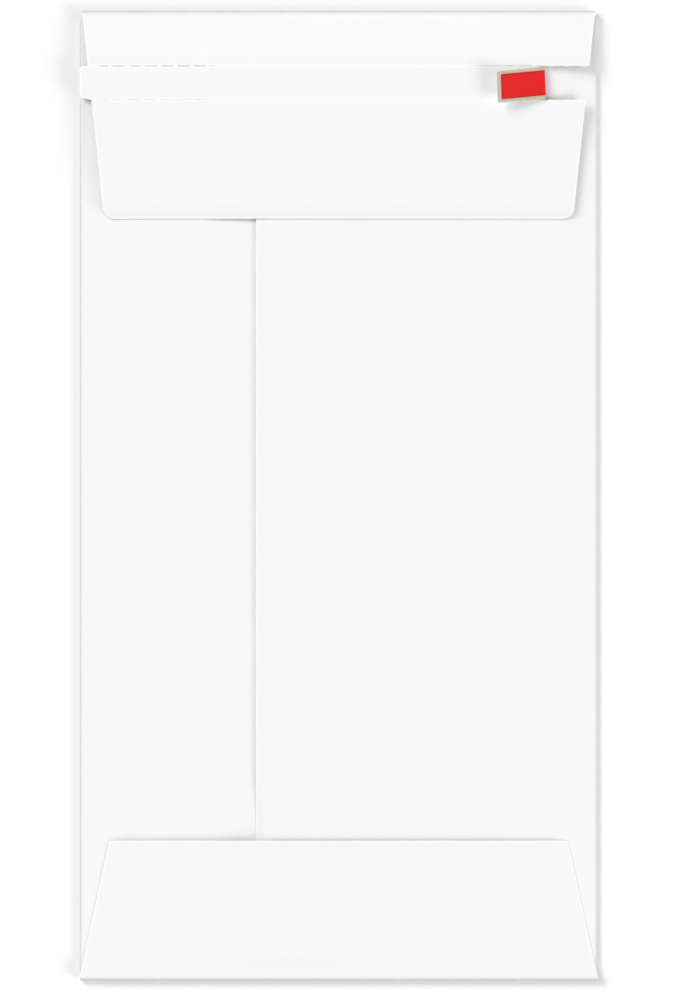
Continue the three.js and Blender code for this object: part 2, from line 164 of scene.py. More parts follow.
def board_colour(tree, place):
    """White clay coat on the outer ply, grey-beige core on the cut edge, and speckled kraft on the inner ply.

    The coat keeps a faint cloudiness. A painted highlight lightens it along a cut edge, and crazing with
    painted shade greys it along a fold.
    """
    ply = kept(tree, "ply")
    clouds = ramp(tree, noise(tree, place, 110.0, Detail=3.0), 0.985, 1.005)
    # painted highlight: the coat is made lighter along each cut edge
    painted_edge_highlight = ramp(tree, kept(tree, "rim"), 1.06, 1.0, low=0.12 * MM, high=0.45 * MM)
    # painted shade along the folds, with crazing, mottled by noise
    crazing_shade_level = ramp(tree, noise(tree, place, 700.0, Detail=4.0), 0.88, 1.08, low=0.3, high=0.7)
    crazing_and_shade_grey = ramp(tree, times(tree, kept(tree, "strain"), crazing_shade_level), 1.0, FOLD_CRAZING_AND_SHADE_GREY)
    coat = shaded(tree, shaded(tree, shaded(tree, WHITE, clouds), painted_edge_highlight), crazing_and_shade_grey)
    specks = noise(tree, place, 2600.0, Detail=4.0, Roughness=0.7)
    flecks = ramp(tree, specks, 0.86, 1.1, low=0.3, high=0.7)
    pulp = blended(tree, ramp(tree, ply, 0.0, 1.0, low=0.6, high=0.9), (*CORE, 1), (*KRAFT, 1))
    under_coat = ramp(tree, ply, 0.0, 1.0, low=0.21, high=0.27)
    return blended(tree, under_coat, coat, shaded(tree, pulp, flecks))


board = finish_material("white_coated_board", board_colour, roughness=0.58, specular=0.14,
                        grain=0.35 * MM, depth=0.004 * MM)


def quads_of(rows, columns):
    """The corner numbers of each square of a grid whose points are numbered row by row."""
    first = (np.arange(rows - 1)[:, None] * columns + np.arange(columns - 1)).ravel()
    return np.stack([first, first + 1, first + columns + 1, first + columns], axis=1)


def border_of(rows, columns):
    """The numbers of a grid's border points, once round."""
    number = np.arange(rows * columns).reshape(rows, columns)
    return np.concatenate([number[0, :-1], number[:-1, -1], number[-1, :0:-1], number[:0:-1, 0]])


def sheet(name, outer, inner, edge, material, slot="board", round_by=DIE_ROUND, strain=0.0, keen=0.0):
    """A closed sheet between two grids of points, which are its outer and inner faces.

    At a distance e from a die-cut edge, nearer than its rounding r, both faces draw together by
    r - sqrt(r^2 - (r - e)^2), or by less where the edge is keen. A band from face to face closes the border.
    The attribute ply runs from 0 on the outer face to 1 on the inner one, rim holds the distance to the edge,
    and a third is 1 along a fold, where the coat is greyed by crazing and painted shade.
    """
    rows, columns = edge.shape
    drop = (1 - keen) * (round_by - np.sqrt(round_by**2 - np.clip(round_by - edge, 0, round_by) ** 2))
    thickness = np.linalg.norm(outer - inner, axis=2)
    share = np.minimum(drop / thickness, MOST_DRAWN)
    depth = drop / thickness.max()
    upper = (outer + (inner - outer) * share[..., None]).reshape(-1, 3)
    lower = (inner + (outer - inner) * share[..., None]).reshape(-1, 3)
    faces, loop, count = quads_of(rows, columns), border_of(rows, columns), rows * columns
    after = np.roll(loop, -1)
    band = np.stack([loop, loop + count, after + count, after], axis=1)
    squares = np.concatenate([faces, faces[:, ::-1] + count, band])
    across = np.cross(upper[faces[:, 1]] - upper[faces[:, 0]], upper[faces[:, 3]] - upper[faces[:, 0]])
    if np.sum(across * (upper - lower)[faces[:, 0]]) < 0:
        squares = squares[:, ::-1]
    mesh = bpy.data.meshes.new(name)
    mesh.from_pydata(np.concatenate([upper, lower]).tolist(), [], squares.tolist())
    for key, values in (("ply", np.concatenate([depth.ravel(), 1 - depth.ravel()])),
                        ("rim", np.tile(np.minimum(edge, MM).ravel(), 2)),
                        ("strain", np.tile(np.broadcast_to(strain, edge.shape).ravel(), 2))):
        mesh.attributes.new(key, "FLOAT", "POINT").data.foreach_set("value", values.astype(np.float32))
    mesh.shade_smooth()
    mesh.set_sharp_from_angle(angle=SHARP_ANGLE)
    mesh.materials.append(material)
    piece = bpy.data.objects.new(name, mesh)
    bpy.context.scene.collection.objects.link(piece)
    return piece


def rings(cut):
    """Offsets of the grid lines at one end, and their distances to a cut there: an uncut end has one line."""
    return (RINGS, RINGS) if cut else (np.zeros(1), np.full(1, FAR))


def spread(low, high, step, near=True, far=True):
    """Places from low to high as shares of the span, offsets in metres, and distances to a die-cut end.

    A die-cut end has rings at fixed distances from it, and the rest is evenly spaced.
    """
    count = max(2, math.ceil((high - low) / step))
    inside = np.arange(1, count) / count
    (start, start_edge), (end, end_edge) = rings(near), rings(far)
    share = np.concatenate([0 * start, inside, 0 * end + 1])
    offset = np.concatenate([start, 0 * inside, -end[::-1]])
    distance = np.concatenate([start_edge, 0 * inside + FAR, end_edge[::-1]])
    return share, offset, distance


fold_angle = np.linspace(-math.pi / 2, math.pi / 2, FOLD_STEPS + 1)
# how far round a fold's section it is greyed by crazing and painted shade
fold_crazing_and_shade = np.exp(-(fold_angle / CRAZING_AND_SHADE_REACH) ** 4)


def half_round(radius):
    """Outer and inner points of a fold's section: distances out from the crease, and heights above the table.

    The angle runs from straight down to straight up, round a centre one radius above the table.
    """
    return [(r * np.cos(fold_angle), radius + r * np.sin(fold_angle)) for r in (radius, radius - BOARD)]


def points(x, y, z):
    """A grid of points, from coordinates given for the whole grid or for its rows or columns alone."""
    return np.stack(np.broadcast_arrays(x, y, z), axis=2)


flat_y = np.append(np.linspace(bottom_crease, top_crease - 2 * TOP_STEP, PANEL_ROWS), top_crease - TOP_STEP)
(fold_out, fold_up), (turn_out, turn_up) = half_round(top_radius)
panel_half = np.concatenate([0 * flat_y + side_crease, 0 * fold_out + flap_half])[:, None]
share, offset, distance = spread(-side_crease, side_crease, PANEL_STEP)
panel_x = panel_half * (2 * share - 1) + offset
panel_y = np.concatenate([flat_y, top_crease + fold_out])[:, None]
panel_y_inner = np.concatenate([flat_y, top_crease + turn_out])[:, None]
panel_low = np.concatenate([0 * flat_y, fold_up])[:, None]
panel_high = np.concatenate([0 * flat_y + BOARD, turn_up])[:, None]
address_panel = sheet(
    "address_panel", points(panel_x, panel_y, panel_low), points(panel_x, panel_y_inner, panel_high),
    np.broadcast_to(distance, panel_x.shape), board,
    strain=np.concatenate([0 * flat_y, TOP_CRAZING_AND_SHADE * fold_crazing_and_shade])[:, None])
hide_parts("front_panel")
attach(address_panel, "mailer_body")


# The back, in two panels that meet at the seam. Each is the address panel's own sheet, brought round a side
# fold. Things in the pocket have sprung them into a low flat-topped arch. Ears beside the mouth keep it shut.

RISE = 4.5 * MM
RISE_POWER = 3
RISE_LENGTH = 57 * MM  # from the bottom crease to where the arch is at its full height
MOUTH_DEPTH = 9.5 * MM
EAR_WIDTH = 10 * MM
EAR_RADIUS = 4 * MM
EAR_LEAN = 0.4 * MM
EAR_TURN = 0.9999  # just short of a quarter circle, so that the mouth's edge never runs straight up
EAR_STEP = 1 * MM
BACK_STEP = 1.5 * MM
BACK_ROW = 2 * MM
SEAM_SHIFT = 0.08 * MM  # from the solid's edge at the seam to the photograph's
SEAM_STEP = 16 * MM  # the width over which the upper panel comes down beside the seam
SEAM_END = 5 * MM
CREASE_GAP = 0.3 * MM
EDGE_GAP = 0.05 * MM
PRESS_WIDTH = 1.5 * MM
CRUSH = 0.42 * MM
CRUSH_FADE = (-64 * MM, -54 * MM)
BOTTOM_END_SHIFT = 0.15 * MM
# the side folds' grey: crazing and painted shade along the outline
LEFT_CRAZING_AND_SHADE, RIGHT_CRAZING_AND_SHADE = 1.0, 0.85

seam_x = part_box("back_panel_wide")[0].x + SEAM_SHIFT
seam_inner_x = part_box("back_panel_narrow")[1].x
mouth_y = half_length - MOUTH_DEPTH
bottom_end = bottom_box[1].y + BOTTOM_END_SHIFT
ear_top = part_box("back_panel_wide")[1].y
ear_x = half_width - EAR_WIDTH
back_z = BOARD + SIDE_POCKET


def ease(value, low, high):
    """0 up to low, 1 from high on, and 3t^2 - 2t^3 in between."""
    t = np.clip((value - low) / (high - low), 0, 1)
    return t * t * (3 - 2 * t)


def arch(x, y):
    """The back's rise: across, 1 less the cube of the distance from the middle as a share of the half width.

    Along, it is eased in from the bottom crease and out from the mouth to the top crease.
    """
    across = 1 - np.minimum(1, np.abs(x) / side_crease) ** RISE_POWER
    along = ease(y, bottom_crease, bottom_crease + RISE_LENGTH) * (1 - ease(y, mouth_y, top_crease))
    return RISE * across * along


def over_seam(x, y):
    """How far the seam's lower sheet lifts the upper one: one board and the glue, eased out past its edge."""
    across = 1 - ease(x, seam_inner_x + CREASE_GAP, seam_inner_x + SEAM_STEP)
    along = ease(y, bottom_crease, bottom_crease + SEAM_END) * (1 - ease(y, mouth_y, top_crease))
    return (BOARD + GLUE_GAP) * across * along


def mouth(x):
    """The mouth's edge: straight, then a quarter circle up into the ear's steep side."""
    out = np.abs(x) - (ear_x - EAR_RADIUS)
    t = np.clip(out / EAR_RADIUS, 0, 1)
    side = np.clip((out - EAR_RADIUS) / EAR_LEAN, 0, 1)
    turn = mouth_y + EAR_RADIUS * (1 - np.sqrt(1 - EAR_TURN * t * t))
    return turn + side * (ear_top - mouth_y - EAR_RADIUS)


def narrow_back(x, y):
    """The narrow panel's under face: the arch, above the pocket's room at the sides."""
    return back_z + arch(x, y)


def pressed(x, y):
    """How far the folder's belt has pressed the seam's free edge onto the narrow panel."""
    along = ease(y, bottom_crease, bottom_end) * (1 - ease(y, mouth_y, top_crease))
    return (GLUE_GAP - EDGE_GAP) * (1 - ease(x, seam_x, seam_x + PRESS_WIDTH)) * along


def wide_back(x, y):
    """The wide panel's under face: the arch, lifted over the seam as far as its edge isn't pressed down."""
    return back_z + arch(x, y) + over_seam(x, y) - pressed(x, y)


def seam_thin(x, y):
    """How much thinner the belt has crushed the seam's edge, more and more towards the bottom flap."""
    return CRUSH * (1 - ease(x, seam_x, seam_x + PRESS_WIDTH)) * (1 - ease(y, *CRUSH_FADE))


def back_panel(name, side, inner_x, under, thin, crazing_shade_level):
    """A back panel with its side fold: the fold's half round, then the arch up to the panel's inner edge."""
    (out, up), (turn, rise) = half_round(side_radius)
    steps = np.concatenate([
        np.arange(side_crease - EAR_STEP, ear_x + EAR_LEAN + EAR_STEP / 2, -EAR_STEP),
        np.linspace(ear_x + EAR_LEAN, ear_x, 7),
        ear_x - EAR_RADIUS * (1 - np.cos(np.linspace(0, math.pi / 2, 9)[1:])),
        np.arange(ear_x - EAR_RADIUS - BACK_STEP, side * inner_x + RINGS[-1] + 0.2 * MM, -BACK_STEP),
    ])
    edge_x = side * inner_x + RINGS[::-1]
    path = np.concatenate([side_crease + out, steps, edge_x])
    path_inner = np.concatenate([side_crease + turn, steps, edge_x])
    cut = np.concatenate([0 * out + FAR, 0 * steps + FAR, RINGS[::-1]])
    share, offset, distance = spread(bottom_crease, mouth_y, BACK_ROW)
    y = bottom_crease + share[:, None] * (mouth(path) - bottom_crease) + offset[:, None]
    x, x_inner = (side * np.broadcast_to(p, y.shape) for p in (path, path_inner))
    bottom = under(x, y)
    top = bottom + BOARD - thin(x, y)
    top[:, :len(out)], bottom[:, :len(out)] = up, rise
    strain = np.concatenate([crazing_shade_level * fold_crazing_and_shade, 0 * steps, 0 * edge_x])
    return sheet(name, points(x, y, top), points(x_inner, y, bottom), np.minimum(distance[:, None], cut),
                 board, strain=strain)


left_back = back_panel("left_back_panel", -1, seam_inner_x, narrow_back, lambda x, y: 0, LEFT_CRAZING_AND_SHADE)
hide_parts("back_panel_narrow")
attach(left_back, "mailer_body")
right_back = back_panel("right_back_panel", 1, seam_x, wide_back, seam_thin, RIGHT_CRAZING_AND_SHADE)
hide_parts("back_panel_wide")
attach(right_back, "mailer_body")


# The glue films: one down the lengthwise seam and one across the bottom flap. Both are translucent packaging
# adhesive, rolled on thin, and show only at the mouth.

GLUE = (0.82, 0.78, 0.64)
GLUE_FILM = 0.22 * MM
FILM_CLEARANCE = 0.03 * MM
FILM_STEP = 2.5 * MM
FILM_ROUND = 0.4  # the share of a film's thickness that its edge is rounded by


def streaked(tree, place, colour, waves, faint, strong):
    """A colour in streaks: noise with its own waves along X, Y and Z shades it, from faint to strong."""
    stretched = join(tree, "ShaderNodeMapping", Vector=place, Scale=waves)
    streaks = noise(tree, stretched.outputs[0], 1.0, Detail=2.0)
    return shaded(tree, colour, ramp(tree, streaks, faint, strong))


def glue_colour(tree, place):
    """Pale amber, with the faint streaks that the roller leaves along the seam."""
    return streaked(tree, place, GLUE, (900.0, 60.0, 900.0), 0.92, 1.04)


glue = finish_material("rolled_glue", glue_colour, roughness=0.32, specular=0.5,
                       grain=0.8 * MM, depth=0.01 * MM)


def two_faces(x, y, z, thickness):
    """The outer and inner faces of a lying sheet: the inner one at height z, the outer one a thickness up."""
    return points(x, y, z + thickness), points(x, y, z)


def film(name, box, under, thickness, material, slot):
    """A film on a rectangle in plan, given by the lowest and highest corners of its node."""
    low, high = box
    share_x, offset_x, edge_x = spread(low.x, high.x, FILM_STEP)
    share_y, offset_y, edge_y = spread(low.y, high.y, FILM_STEP)
    x, y = np.meshgrid(low.x + share_x * (high.x - low.x) + offset_x,
                       low.y + share_y * (high.y - low.y) + offset_y)
    return sheet(name, *two_faces(x, y, under(x, y), thickness), np.minimum(edge_x, edge_y[:, None]),
                 material, slot, round_by=FILM_ROUND * thickness)


def seam_glue_under(x, y):
    """The seam film's under face: a hair above the narrow panel."""
    return narrow_back(x, y) + BOARD + FILM_CLEARANCE


seam_film = film("seam_glue_film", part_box("seam_glue"), seam_glue_under, GLUE_FILM, glue, "glue")
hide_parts("seam_glue")
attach(seam_film, "mailer_body")


# The bottom flap: the address panel's sheet turned up round the bottom fold and glued onto the back. It
# narrows to its free edge, and its sides are straight die cuts.

# the bottom fold's grey: crazing and painted shade along the outline
BOTTOM_CRAZING_AND_SHADE = 0.85
BOTTOM_END_WIDTH = 90.1 * MM
BOTTOM_ROW = 1.2 * MM
BOTTOM_STEP = 1.5 * MM
SEAM_TENT = 12 * MM  # the width that a flap bridges beside the seam's free edge
SIDE_PRESS = 2.4 * MM
SIDE_PRESS_START = 3 * MM
SIDE_GAP = 0.02 * MM  # what the press leaves of the glue's room
SIDE_CRUSH = 0.3 * MM
BOTTOM_GLUE_DROP = 0.26 * MM

bottom_end_half = BOTTOM_END_WIDTH / 2
bottom_flap_z = back_z + BOARD + GLUE_GAP


def bottom_half(y):
    """The bottom flap's half width, full at the fold and evenly less towards the free edge."""
    share = np.clip((y - bottom_crease) / (bottom_end - bottom_crease), 0, 1)
    return half_width + share * (bottom_end_half - half_width)


def over_back(x, y):
    """The seam's lift under a flap, which bridges down to the narrow panel on the seam's free side."""
    return (over_seam(x, y) - pressed(x, y)) * ease(x, seam_x - SEAM_TENT, seam_x - CREASE_GAP)


def on_slant(x, y):
    """How hard the press bears on the flap: 1 on the slanted sides, eased to 0 further in and at the fold."""
    inside = bottom_half(y) - np.abs(x)
    return (1 - ease(inside, 0, SIDE_PRESS)) * ease(y - bottom_crease, 0, SIDE_PRESS_START)


def bottom_under(x, y):
    """The bottom flap's under face: on its glue, with the slanted sides pressed down onto the back."""
    return bottom_flap_z + arch(x, y) + over_back(x, y) - (GLUE_GAP - SIDE_GAP) * on_slant(x, y)


(fold_out, fold_up), (turn_out, turn_up) = half_round(bottom_radius)
share, offset, distance = spread(bottom_crease, bottom_end, BOTTOM_ROW, near=False)
lying_y = (bottom_crease + share * (bottom_end - bottom_crease) + offset)[1:]
lying_cut = distance[1:]
flap_y = np.concatenate([bottom_crease - fold_out, lying_y])[:, None]
flap_y_inner = np.concatenate([bottom_crease - turn_out, lying_y])[:, None]
share, offset, distance = spread(-half_width, half_width, BOTTOM_STEP)
flap_x = bottom_half(flap_y) * (2 * share - 1) + offset
flap_under = bottom_under(flap_x, flap_y)
flap_top = flap_under + BOARD - SIDE_CRUSH * on_slant(flap_x, flap_y)
flap_top[:len(fold_up)] = fold_up[:, None]
flap_under[:len(turn_up)] = turn_up[:, None]
flap_edge = np.minimum(distance, np.concatenate([0 * fold_out + FAR, lying_cut])[:, None])
bottom_flap = sheet(
    "bottom_flap_board", points(flap_x, flap_y, flap_top), points(flap_x, flap_y_inner, flap_under),
    flap_edge, board, strain=np.concatenate([BOTTOM_CRAZING_AND_SHADE * fold_crazing_and_shade, 0 * lying_y])[:, None])
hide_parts("bottom_flap")
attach(bottom_flap, "mailer_body")


def bottom_glue_under(x, y):
    """The bottom film's under face: far enough down for the film to lie a hair below the flap."""
    return bottom_under(x, y) - BOTTOM_GLUE_DROP


bottom_film = film("bottom_flap_glue_film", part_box("bottom_flap_glue"), bottom_glue_under, GLUE_FILM,
                   glue, "glue")
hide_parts("bottom_flap_glue")
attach(bottom_film, "mailer_body")


# The closure flap: a tongue of the same sheet, hinged on a crease beside the top fold. A tear strip cuts it
# in two. Where the strip is torn off, its edges keep the stubs of the ties.

FLAP_GAP = 0.5 * MM
FLAP_CORNER = 2 * MM
CLOSURE_END_WIDTH = 92.1 * MM
TIP_SHIFT = -0.22 * MM  # from the solids' edge to the photograph's, as in the next two
LOWER_CUT_SHIFT = 0.12 * MM
UPPER_CUT_SHIFT = -0.3 * MM
LEFT_LIFT, RIGHT_LIFT = 0.3 * MM, 0.25 * MM  # of the flap's sides, which stay flatter than the back
SIDE_LIFT_START = 40.5 * MM
TUG_LIFT = 0.35 * MM  # a pull on the tab has lifted the flap's left side
TUG_SPAN = (34 * MM, 52 * MM)
TORN_LIFT = 1.1 * MM  # the tear has lifted the slot's edges
TORN_SPAN = (40 * MM, 50 * MM)
LIFT_REACH = 8 * MM
TIP_DROP = 0.44 * MM
TIP_BEND = 3.6 * MM
TIP_CRUSH = 0.2 * MM  # the die has thinned the flap's tip
TIP_PRESS = 1.5 * MM
CREASE_BEND = 0.4 * MM  # over which the flap bends as it is opened
SCORE_DEPTH = 0.025 * MM
SCORE_WIDTH = 0.13 * MM
SCORES = (top_crease - 0.15 * MM, top_crease - 1.15 * MM)
TIE_PITCH = 3.2 * MM
TIE_HALF = 0.4 * MM
TIE_FLANK = 0.06 * MM
FLANK_LINES = np.array([-0.55, 0.55])  # grid lines just past both ends of a flank, in flank widths
STUB = 0.12 * MM
STUB_WAVES = (0.07 * MM, 0.031 * MM)
STUB_START = 0.3 * MM
CUT_START = -46.9 * MM  # left of this the tab was never cut from the flap
CUT_CLOSES = (-26 * MM, -24 * MM)
CUT_OPENS = (24 * MM, 30 * MM)
CLOSED_KEEN = 0.8
KEEN_REACH = 0.2 * MM
FLAP_STEP = 1.5 * MM
FLAP_REACH = 48 * MM  # the flap's regular grid lines run this far to both sides
SIDE_ROOM = 0.75 * MM  # kept free of other grid lines, for the rings along the flap's sides
NEAREST = 0.02 * MM  # a grid line is never closer than this to a ring, or to the line at an uncut end
UPPER_ROW = 0.8 * MM
LOWER_ROW = 1 * MM

flap_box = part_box("closure_flap_lower")
closure_end = flap_box[0].y + TIP_SHIFT
closure_end_half = CLOSURE_END_WIDTH / 2
strip_low = flap_box[1].y + LOWER_CUT_SHIFT
strip_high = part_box("closure_flap_upper")[0].y + UPPER_CUT_SHIFT
strip_mid = (strip_low + strip_high) / 2
closure_z = back_z + BOARD + FLAP_GAP
tear_x, tear_y, tear_z = next(j["pos_m"] for j in frame["joints"] if j["name"] == "torn_end_fold")


def closure_half(y):
    """The closure flap's half width, which grows evenly from its free edge to the top fold."""
    share = (y - closure_end) / (half_length - closure_end)
    return closure_end_half + (flap_half - closure_end_half) * share


def lifted(x, y):
    """How much higher than the back's own curve the flap's sides lie, most of all by the strip's two ends."""
    sides = np.where(x < 0, LEFT_LIFT, RIGHT_LIFT) * ease(np.abs(x), SIDE_LIFT_START, half_width)
    ends = TUG_LIFT * ease(-x, *TUG_SPAN) + TORN_LIFT * ease(x, *TORN_SPAN)
    near_strip = np.exp(-((y - strip_mid) / LIFT_REACH) ** 2)
    below = top_crease - y
    return sides * ease(below, 0, LIFT_REACH) + ends * near_strip * ease(below, 0, LIFT_REACH / 2)


def closure_under(x, y):
    """The closure flap's under face: the gap over the back, with the tip bent down towards it."""
    tip = TIP_DROP * (1 - ease(y, closure_end, closure_end + TIP_BEND))
    return closure_z + arch(x, y) + over_back(x, y) + lifted(x, y) - tip


def tie(x):
    """1 on a tie and 0 on a cut, with steep flanks; the ties are evenly spaced from the tear."""
    away = np.abs((x - tear_x) % TIE_PITCH - TIE_PITCH / 2)
    return np.clip((TIE_HALF - away) / TIE_FLANK + 0.5, 0, 1)


def keenness(x, y):
    """1 on a tie's edge, where no die has pressed, less along a closed cut, and 0 away from the strip."""
    closed = CLOSED_KEEN * ease(x, *CUT_CLOSES) * (1 - ease(x, *CUT_OPENS))
    uncut = (x < CUT_START) & (x > -closure_half(strip_mid))
    beside = np.abs(y - strip_mid) < (strip_high - strip_low) / 2 + KEEN_REACH
    return beside * np.maximum(closed, tie(x) + uncut).clip(0, 1)


def stub(x):
    """What a torn tie leaves on the flap right of the tear: a nub, made ragged by a sine times a cosine."""
    ragged = 0.75 + 0.25 * np.sin(x / STUB_WAVES[0]) * np.cos(x / STUB_WAVES[1])
    return STUB * tie(x) * ragged * (x > tear_x + STUB_START)


def tie_lines(low, high):
    """Places that follow the flanks and tops of the ties between low and high."""
    first = math.ceil((low - tear_x) / TIE_PITCH - 0.5)
    last = math.floor((high - tear_x) / TIE_PITCH - 0.5)
    middles = tear_x + (np.arange(first, last + 1) + 0.5) * TIE_PITCH
    flank = TIE_HALF + TIE_FLANK * FLANK_LINES
    top = TIE_HALF / 2 * np.array([-1, 0, 1])
    return (middles[:, None] + np.concatenate([-flank[::-1], top, flank])).ravel()


def between(places, low, high):
    """The places that lie between low and high, each once and in order."""
    return np.unique(places[(places > low) & (places < high)])


def flap_part(name, y_low, y_high, x_places, y_places, half, above):
    """The part of the closure flap above the strip or below it, whose half width at each y is half(y).

    Its grid lines keep their share of the way across, and rings follow the die-cut edges. The stubs of the
    torn ties stand on its edge along the strip. The scores and the thinned tip come off its outer face.
    """
    (start, start_edge), (end, end_edge) = rings(True), rings(not above)
    share_y = np.concatenate([0 * start, (y_places - y_low) / (y_high - y_low), 0 * end + 1])[:, None]
    offset_y = np.concatenate([start, 0 * y_places, -end[::-1]])[:, None]
    edge_y = np.concatenate([start_edge, 0 * y_places + FAR, end_edge[::-1]])[:, None]
    beside_strip = closure_half(y_low if above else y_high)
    share_x = np.concatenate([0 * RINGS, (x_places / beside_strip + 1) / 2, 0 * RINGS + 1])
    offset_x = np.concatenate([RINGS, 0 * x_places, -RINGS[::-1]])
    edge_x = np.concatenate([RINGS, 0 * x_places + FAR, RINGS[::-1]])
    x = half(y_low + share_y * (y_high - y_low) + offset_y) * (2 * share_x - 1) + offset_x
    low, high = (y_low - stub(x), y_high) if above else (y_low, y_high + stub(x))
    y = low + share_y * (high - low) + offset_y
    score = sum(SCORE_DEPTH * np.exp(-((y - place) / SCORE_WIDTH) ** 2) for place in SCORES)
    thin = TIP_CRUSH * (1 - ease(y, closure_end, closure_end + TIP_PRESS))
    faces = two_faces(x, y, closure_under(x, y), BOARD - score - thin)
    return sheet(name, *faces, np.minimum(edge_x, edge_y), board, keen=keenness(x, y))


regular_x = np.arange(-FLAP_REACH, FLAP_REACH + FLAP_STEP / 2, FLAP_STEP)
flap_lines = np.concatenate([regular_x, tie_lines(-half_width, half_width)])
flap_x = between(flap_lines, SIDE_ROOM - closure_half(strip_high), closure_half(strip_high) - SIDE_ROOM)
crease_y = np.linspace(top_crease - CREASE_BEND, top_crease, 9)[:-1]
score_y = SCORES[1] + SCORE_WIDTH * np.linspace(-2, 2, 9)
plain_y = np.arange(strip_high + RINGS[-1] + UPPER_ROW / 2, score_y[0] - UPPER_ROW / 4, UPPER_ROW)
upper_y = np.concatenate([plain_y, score_y, crease_y])
upper_flap = flap_part("closure_flap_above_strip", strip_high, top_crease, flap_x, upper_y,
                       closure_half, above=True)
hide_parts("closure_flap_upper")
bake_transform(upper_flap)


def rounded_half(y):
    """The half width below the strip, with each free corner cut to a quarter circle."""
    short = np.clip(FLAP_CORNER - (y - closure_end), 0, FLAP_CORNER)
    return closure_half(y) - (FLAP_CORNER - np.sqrt(FLAP_CORNER**2 - short**2))


flap_x = between(flap_lines, SIDE_ROOM - closure_half(strip_low), closure_half(strip_low) - SIDE_ROOM)
corner_y = closure_end + FLAP_CORNER * (1 - np.cos(np.linspace(0.4, math.pi / 2, 12)))
plain_y = np.arange(closure_end + FLAP_CORNER + RINGS[-1], strip_low - RINGS[-1] - LOWER_ROW / 10, LOWER_ROW)
lower_y = between(np.concatenate([corner_y, plain_y]), closure_end + RINGS[-1] + NEAREST, strip_low)
lower_flap = flap_part("closure_flap_below_strip", closure_end, strip_low, flap_x, lower_y,
                       rounded_half, above=False)
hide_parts("closure_flap_lower")
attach(lower_flap, "closure_flap")


# The closing adhesive, a band of hot melt rolled onto the flap's inner face below the strip, and the waxed
# release liner that covers it until the flap is sealed.

LINER = (0.88, 0.86, 0.80)
SEAL_FILM = 0.1 * MM
SEAL_DROP = 0.11 * MM  # from the flap's under face down to the film's
LINER_FILM = 0.1 * MM
LINER_DROP = 0.22 * MM


def liner_colour(tree, place):
    """Off-white glassine with faint lengthwise calender streaks."""
    return streaked(tree, place, LINER, (40.0, 1500.0, 40.0), 0.95, 1.03)


liner = finish_material("waxed_liner", liner_colour, roughness=0.28, specular=0.5,
                        grain=0.6 * MM, depth=0.003 * MM)


def under_flap(down):
    """The face that lies a distance down below the closure flap's under face."""
    return lambda x, y: closure_under(x, y) - down


seal = film("closing_adhesive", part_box("seal_adhesive"), under_flap(SEAL_DROP), SEAL_FILM, glue, "glue")
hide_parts("seal_adhesive")
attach(seal, "closure_flap")
liner_strip = film("liner_strip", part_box("release_liner"), under_flap(LINER_DROP), LINER_FILM,
                   liner, "liner")
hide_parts("release_liner")
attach(liner_strip, "closure_flap")


# The tear strip: the band of the flap between two perforations, with a red tear tape on its inner face. Its
# left end stands out as the pull tab, and the rest is drawn in five lengths between the hinge places.

OPEN_CUT = 0.075 * MM
OPEN_CUT_BELOW = 0.02 * MM
HAIRLINE = 0.004 * MM
TAB_OPENS = (-47.6 * MM, -46.6 * MM)
TEAR_OPEN = 0.6  # how wide the cuts stand near the tear, as a share of their width near the tab
FRAY = 0.3 * MM
FRAY_START = 0.7
FRAYED_TIE = 0.05 * MM
STRIP_MARGIN = 1.1 * MM
STRIP_ROWS = 9
STRIP_STEP = 0.8 * MM
TAPE_HALF = 4.9 / 2 * MM
TAPE_THICK = 0.1 * MM
TAPE_GAP = 0.008 * MM
TAPE_INSET = 0.8 * MM
TAPE_STEP = 0.8 * MM
TAPE_RED = (0.79, 0.006, 0.007)
SLIT_ROUND = 0.04 * MM
TAB_SLANT = 0.4 * MM
TAB_CORNER = 0.5 * MM
FOLD_LEAN = math.radians(2.75)  # of the torn end's crease
CREASE_REACH = 2 * MM


def tape_colour(tree, place):
    """Red film, a little cloudy, with painted shade darkening it along its slit edges."""
    clouds = ramp(tree, noise(tree, place, 900.0, Detail=2.0), 0.92, 1.06)
    # painted shade: the red is darkened along the tape's edges
    slit = ramp(tree, kept(tree, "rim"), 0.62, 1.0, low=0.05 * MM, high=0.35 * MM)
    return shaded(tree, TAPE_RED, times(tree, clouds, slit))


tape = finish_material("red_tear_tape", tape_colour, roughness=0.38, specular=0.28,
                       grain=0.5 * MM, depth=0.004 * MM)


def strip_under(x, y):
    """The strip's under face, level with the flap's, and unlifted where the torn end once lay.

    Near the tear the arch leans with the crease, because the fold has pressed the board straight along it.
    """
    x = x + np.tan(FOLD_LEAN) * (y - strip_mid) * np.exp(-((x - tear_x) / CREASE_REACH) ** 2)
    return closure_z + arch(x, y) + over_back(x, y) + lifted(x, y) * (x < 0)


def set_back(x, wide):
    """How far the strip's edge lies inside its perforation, where an open cut is so wide.

    The cuts stand open near the pull tab, a little near the tear, and hardly where nothing has pulled. The
    ties hold by a hairline. Past the tear the strip is frayed and narrows to its end.
    """
    open_share = ease(x, *TAB_OPENS) * (1 - ease(x, *CUT_CLOSES)) + TEAR_OPEN * ease(x, *CUT_OPENS)
    held = HAIRLINE + wide * open_share * (1 - tie(x))
    frayed = FRAY * (FRAY_START + (1 - FRAY_START) * ease(x, tear_x, half_width)) - FRAYED_TIE * tie(x)
    return np.where(x > tear_x, frayed, held)


def leaned(x, y, ends, leans):
    """Places moved along the strip so that its lines lean, evenly from one end's lean to the other's."""
    lean = leans[0] + (leans[1] - leans[0]) * (x - ends[0]) / (ends[1] - ends[0])
    return x - np.tan(lean) * (y - strip_mid)


